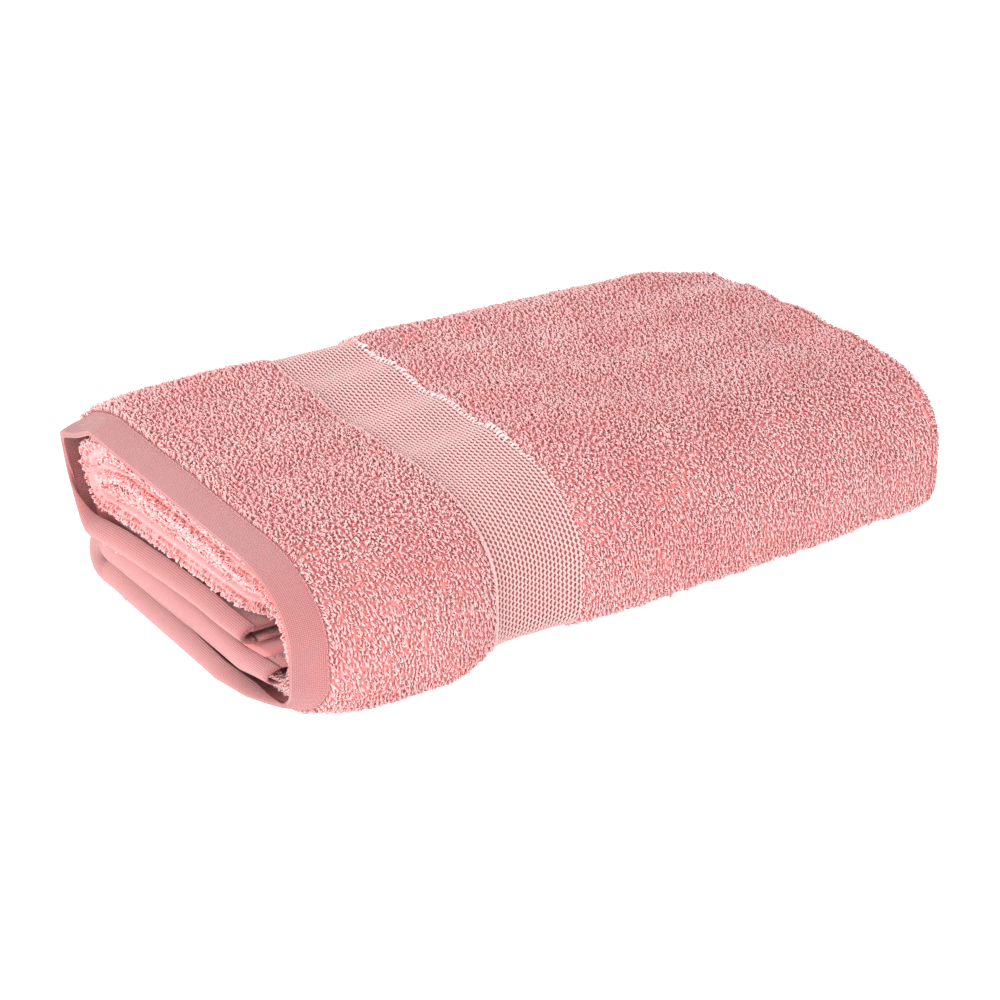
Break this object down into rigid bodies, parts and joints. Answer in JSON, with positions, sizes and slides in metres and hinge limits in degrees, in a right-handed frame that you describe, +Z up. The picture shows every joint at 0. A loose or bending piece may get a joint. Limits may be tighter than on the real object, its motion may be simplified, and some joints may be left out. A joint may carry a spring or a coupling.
{
  "type": "folded bath towel",
  "caption": "Terry bath towel folded into a compact rectangular stack, with flat-woven end hems, raised-net border bands and looped pile.",
  "frame": {"origin": "centre of the bottom of the folded towel's box, on the surface that it lies on", "axes": "+X along the folded length, from the end hems to the plain folded end; +Y from the round near fold to the two far folds; +Z up, through the stack"},
  "size_m": [0.3576, 0.1758, 0.0849],
  "materials": {
    "terry_pile": "cotton terry loops, matt",
    "hem_weave": "fine flat weave, matt",
    "border_weave": "flat weave with a raised net, matt",
    "float_yarn": "soft raised yarn, slight sheen",
    "sewing_thread": "twisted thread, slight sheen"
  },
  "bodies": {
    "root": {"main_pile_field": "terry_pile", "short_pile_a": "terry_pile", "short_pile_b": "terry_pile", "border_band_a": "border_weave", "border_band_b": "border_weave", "border_float_inner_a": "float_yarn", "border_float_outer_a": "float_yarn", "border_float_inner_b": "float_yarn", "border_float_outer_b": "float_yarn", "end_hem_a": "hem_weave", "end_hem_b": "hem_weave", "end_hem_stitching_a": "sewing_thread", "end_hem_stitching_b": "sewing_thread", "side_hem_upper": "hem_weave", "side_hem_lower": "hem_weave", "side_stitching_upper": "sewing_thread", "side_stitching_lower": "sewing_thread"}
  },
  "joints": []
}
